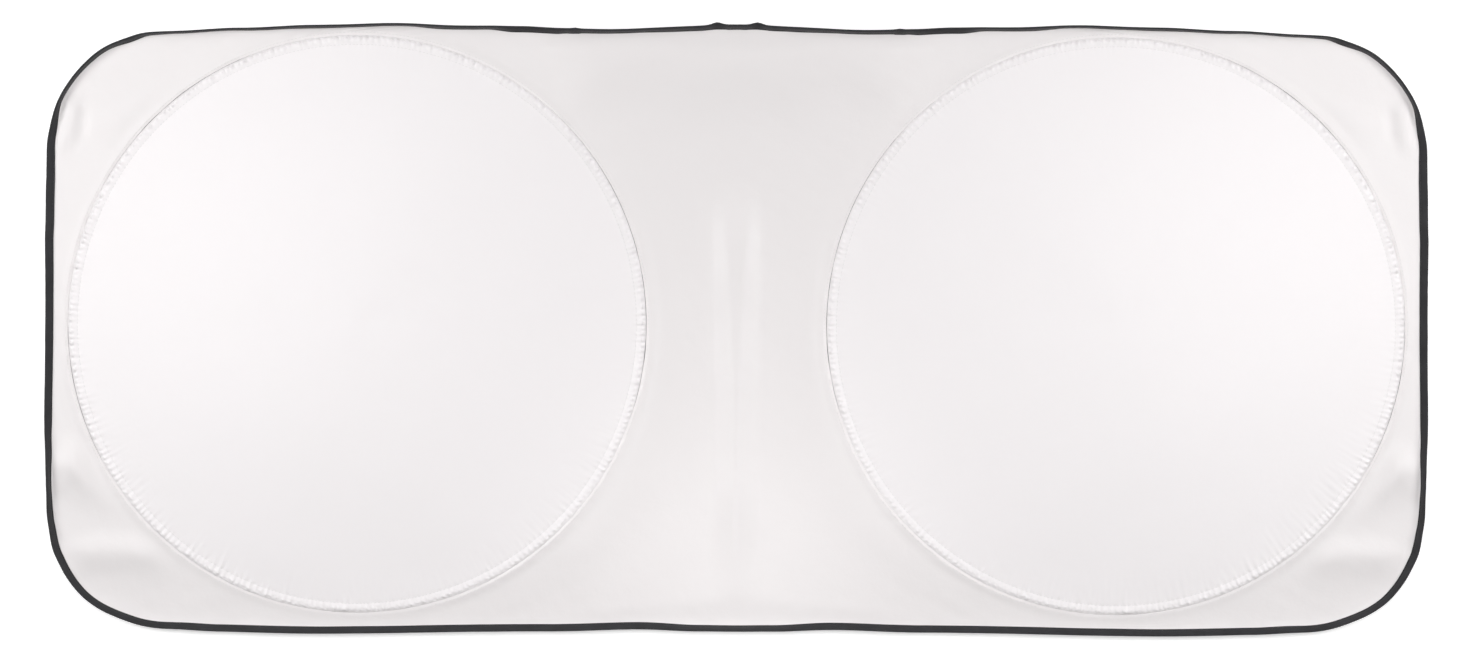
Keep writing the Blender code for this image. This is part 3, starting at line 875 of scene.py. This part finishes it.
def buildStitchTree():
    tree = bpy.data.node_groups.new("stitch row", "GeometryNodeTree")
    tree.is_modifier = True
    tree.interface.new_socket("Geometry", in_out="INPUT", socket_type="NodeSocketGeometry")
    for label in ("Pitch", "Stitch Length", "Thread Width", "Turn Spread"):
        tree.interface.new_socket(label, in_out="INPUT", socket_type="NodeSocketFloat")
    tree.interface.new_socket("Seed", in_out="INPUT", socket_type="NodeSocketInt")
    tree.interface.new_socket("Thread", in_out="INPUT", socket_type="NodeSocketMaterial")
    tree.interface.new_socket("Geometry", in_out="OUTPUT", socket_type="NodeSocketGeometry")
    nodes = tree.nodes
    given, result = nodes.new("NodeGroupInput"), nodes.new("NodeGroupOutput")
    toCurve = nodes.new("GeometryNodeMeshToCurve")
    link(tree, given.outputs["Geometry"], toCurve.inputs["Mesh"])
    spaced = nodes.new("GeometryNodeResampleCurve")
    spaced.mode = "LENGTH"
    link(tree, toCurve.outputs["Curve"], spaced.inputs["Curve"])
    link(tree, given.outputs["Pitch"], spaced.inputs["Length"])
    bead = nodes.new("GeometryNodeMeshUVSphere")
    bead.inputs["Segments"].default_value = 6
    bead.inputs["Rings"].default_value = 4
    bead.inputs["Radius"].default_value = 0.5
    tangent = nodes.new("GeometryNodeInputTangent")
    aim = nodes.new("FunctionNodeAlignRotationToVector")
    aim.axis = "X"
    link(tree, tangent.outputs["Tangent"], aim.inputs["Vector"])
    jitter = nodes.new("FunctionNodeRandomValue")
    jitter.data_type = "FLOAT"
    least, most = [s for s in jitter.inputs if s.type == "VALUE" and s.enabled][:2]
    link(tree, mathNode(tree, "MULTIPLY", given.outputs["Turn Spread"], -1.0), least)
    link(tree, given.outputs["Turn Spread"], most)
    link(tree, given.outputs["Seed"], jitter.inputs["Seed"])
    spin = nodes.new("ShaderNodeCombineXYZ")
    link(tree, [s for s in jitter.outputs if s.enabled][0], spin.inputs["Z"])
    toTurn = nodes.new("FunctionNodeEulerToRotation")
    link(tree, spin.outputs[0], toTurn.inputs[0])
    turned = nodes.new("FunctionNodeRotateRotation")
    link(tree, aim.outputs["Rotation"], turned.inputs[0])
    link(tree, toTurn.outputs[0], turned.inputs[1])
    size = nodes.new("ShaderNodeCombineXYZ")
    link(tree, given.outputs["Stitch Length"], size.inputs["X"])
    link(tree, given.outputs["Thread Width"], size.inputs["Y"])
    link(tree, given.outputs["Thread Width"], size.inputs["Z"])
    placed = nodes.new("GeometryNodeInstanceOnPoints")
    link(tree, spaced.outputs["Curve"], placed.inputs["Points"])
    link(tree, bead.outputs["Mesh"], placed.inputs["Instance"])
    link(tree, turned.outputs[0], placed.inputs["Rotation"])
    link(tree, size.outputs[0], placed.inputs["Scale"])
    realized = nodes.new("GeometryNodeRealizeInstances")
    link(tree, placed.outputs["Instances"], realized.inputs["Geometry"])
    dressed = nodes.new("GeometryNodeSetMaterial")
    link(tree, realized.outputs["Geometry"], dressed.inputs["Geometry"])
    link(tree, given.outputs["Thread"], dressed.inputs["Material"])
    link(tree, dressed.outputs["Geometry"], result.inputs["Geometry"])
    return tree


stitchTree = buildStitchTree()


def stitchRows(name, paths, thread, seed):
    # each path is a list of points and whether it is closed; the result is one plain mesh
    mesh = bpy.data.meshes.new(name + "_path")
    points, edges = [], []
    for path, closed in paths:
        start = len(points)
        points += [tuple(p) for p in path]
        edges += [(start + i, start + i + 1) for i in range(len(path) - 1)]
        if closed:
            edges.append((len(points) - 1, start))
    mesh.from_pydata(points, edges, [])
    carrier = bpy.data.objects.new(name + "_path", mesh)
    bpy.context.scene.collection.objects.link(carrier)
    row = carrier.modifiers.new("Stitches", "NODES")
    row.node_group = stitchTree
    values = {"Pitch": stitch["pitch"], "Stitch Length": stitch["length"], "Thread Width": stitch["width"],
              "Turn Spread": stitch["turnSpread"], "Seed": seed, "Thread": thread}
    for socket in stitchTree.interface.items_tree:
        if socket.in_out == "INPUT" and socket.name in values:
            row[socket.identifier] = values[socket.name]
    evaluated = carrier.evaluated_get(bpy.context.evaluated_depsgraph_get())
    made = bpy.data.meshes.new_from_object(evaluated)
    made.name = name
    made.shade_smooth()
    piece = bpy.data.objects.new(name, made)
    bpy.context.scene.collection.objects.link(piece)
    bpy.data.objects.remove(carrier)
    return piece


def ringPath(radius, height, sign):
    angle = np.arange(stitch["hoopPoints"]) * 2 * math.pi / stitch["hoopPoints"]
    x, y = hoopX + radius * np.cos(angle), hoopY + radius * np.sin(angle)
    return np.column_stack([sign * x, y, height(radius, angle)]), True


def hoopStitches(side, sign):
    # the inner row, the row beside the seam, and both rows of the tape behind
    sit = cloth["thick"] / 2 + stitch["width"] * stitch["proud"]

    def onDisc(radius, angle):
        return cloth["panelMid"] + discHeight(np.full(len(angle), radius), angle) + sit

    def onHem(radius, angle):
        swell = hemHeight(radius - seamRadius - seamOpening(angle), angle)
        folds = foldHeight(hoopX + radius * np.cos(angle), hoopY + radius * np.sin(angle))
        return cloth["panelMid"] + swell + sit + folds

    def onTape(radius, angle):
        return pocketHeight(np.full(len(angle), radius - hoopRadius), angle) - sit

    paths = [ringPath(seamRadius - disc["innerRow"], onDisc, sign),
             ringPath(seamRadius + stitch["besideSeam"], onHem, sign),
             ringPath(hoopRadius - stitch["tapeRow"], onTape, sign),
             ringPath(hoopRadius + stitch["tapeRow"], onTape, sign)]
    return stitchRows(f"{side}_hoop_stitching", paths, finish["whiteThread"], stitch["hoopSeed"])


def bindingStitches():
    edge = CurledEdge(np.linspace(0, 1, stitch["edgePoints"]))
    sit = binding["off"] - binding["grooveDepth"] + cloth["thick"] / 2 + stitch["width"] * stitch["proud"]
    paths = []
    for off in (sit, -sit):
        half = edge.at(binding["groove"], off)
        whole = np.vstack([half, (half * (-1, 1, 1))[-2:0:-1]])
        paths.append((whole, True))
    return stitchRows("edge_stitching", paths, finish["blackThread"], stitch["edgeSeed"])


# Build all pieces
looseCloth = buildLooseCloth()
print("loose cloth", len(looseCloth.data.polygons))
edgeTape = buildBinding()
print("edge tape", len(edgeTape.data.polygons))
loopPiece = buildElasticLoop()
edgeThread = bindingStitches()
print("edge stitches", len(edgeThread.data.polygons))
discs, tapes, threads = {}, {}, {}
for side, sign in (("left", -1), ("right", 1)):
    discs[side] = buildDisc(side, sign)
    tapes[side] = buildPocket(side, sign)
    threads[side] = hoopStitches(side, sign)
    print(side, "disc", len(discs[side].data.polygons), "stitches", len(threads[side].data.polygons))

for name in ("left_hoop", "right_hoop", "left_hoop_clip", "right_hoop_clip"):
    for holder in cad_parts[name].material_slots:
        holder.material = finish["steel"]


def putOn(piece, slotName, *nodes):
    # the piece rides on the body root and takes the place of the named solids
    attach(piece, "root")
    if nodes:
        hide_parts(*nodes)


putOn(looseCloth, "surround_cloth", "surround_panel")
putOn(edgeTape, "black_tape", "edge_binding")
putOn(loopPiece, "black_elastic", "retaining_loop")
putOn(edgeThread, "black_tape")
for side in ("left", "right"):
    putOn(discs[side], "disc_cloth", f"{side}_disc_panel")
    putOn(tapes[side], "pocket_tape", f"{side}_hoop_pocket")
    putOn(threads[side], "disc_cloth")

# Camera: square on from above, with the photograph's small roll
view = {
    "distance": 3.2, "centre": (0.0006, -0.0005), "roll": 0.19,
    "widthPixels": 1474, "metresPerPixel": 0.0010870, "sensor": 36,
}
cameraData = bpy.data.cameras.new("camera")
cameraData.sensor_width = view["sensor"]
cameraData.lens = view["sensor"] * view["distance"] / (view["widthPixels"] * view["metresPerPixel"])
camera = bpy.data.objects.new("camera", cameraData)
camera.location = (*view["centre"], view["distance"])
camera.rotation_euler = (0, 0, math.radians(view["roll"]))
bpy.context.scene.collection.objects.link(camera)
bpy.context.scene.camera = camera

# Floor and plain soft light
studio = {
    "world": 0.10,
    "lamps": (  # place, size, power, aimed at
        ((-0.77, 0.16, 0.98), 0.7, 4.0, (-0.60, 0.09, 0.0)),
        ((0.77, 0.16, 0.98), 0.7, 4.0, (0.60, 0.09, 0.0)),
        ((-0.70, -0.40, 0.95), 0.7, 0.65, (-0.55, -0.28, 0.0)),
        ((0.70, -0.40, 0.95), 0.7, 0.65, (0.55, -0.28, 0.0)),
        ((-2.60, 0.45, 1.75), 1.2, 33.5, (0.0, 0.0, 0.0)),
        ((2.60, 0.45, 1.75), 1.2, 33.5, (0.0, 0.0, 0.0)),
        ((0.0, 2.10, 2.40), 2.4, 15.5, (0.0, 0.0, 0.0)),
        ((0.0, -0.27, 0.30), 0.22, 0.19, (0.0, -0.27, 0.0)),
    ),
    "floorSize": 12.0,
    "floorDrop": 0.0002,
    "floorColor": (0.92, 0.92, 0.92, 1),
    "floorGlow": 0.45,  # for the camera alone, so that the ground of the picture is white
}


def buildFloor():
    half, level = studio["floorSize"] / 2, -studio["floorDrop"]
    corners = [(x * half, y * half, level) for x, y in ((-1, -1), (1, -1), (1, 1), (-1, 1))]
    mesh = bpy.data.meshes.new("floor")
    mesh.from_pydata(corners, [], [(0, 1, 2, 3)])
    floor = bpy.data.objects.new("floor", mesh)
    bpy.context.scene.collection.objects.link(floor)
    made = bpy.data.materials.new("white floor")
    made.use_nodes = True
    tree = made.node_tree
    tree.nodes.clear()
    matt = tree.nodes.new("ShaderNodeBsdfDiffuse")
    matt.inputs["Color"].default_value = studio["floorColor"]
    glow = tree.nodes.new("ShaderNodeEmission")
    seen = tree.nodes.new("ShaderNodeLightPath")
    strength = mathNode(tree, "MULTIPLY", seen.outputs["Is Camera Ray"], studio["floorGlow"])
    link(tree, strength, glow.inputs["Strength"])
    both = tree.nodes.new("ShaderNodeAddShader")
    link(tree, matt.outputs[0], both.inputs[0])
    link(tree, glow.outputs[0], both.inputs[1])
    out = tree.nodes.new("ShaderNodeOutputMaterial")
    link(tree, both.outputs[0], out.inputs["Surface"])
    mesh.materials.append(made)


def buildLights():
    world = bpy.data.worlds.new("studio")
    world.use_nodes = True
    world.node_tree.nodes["Background"].inputs["Color"].default_value = (1, 1, 1, 1)
    world.node_tree.nodes["Background"].inputs["Strength"].default_value = studio["world"]
    bpy.context.scene.world = world
    for index, (spot, size, power, aim) in enumerate(studio["lamps"]):
        data = bpy.data.lights.new(f"softbox {index}", "AREA")
        data.size = size
        data.energy = power
        lamp = bpy.data.objects.new(f"softbox {index}", data)
        lamp.location = spot
        lamp.rotation_euler = (Vector(aim) - Vector(spot)).to_track_quat("-Z", "Y").to_euler()
        bpy.context.scene.collection.objects.link(lamp)


buildFloor()
buildLights()
bpy.context.scene.view_settings.view_transform = "Standard"
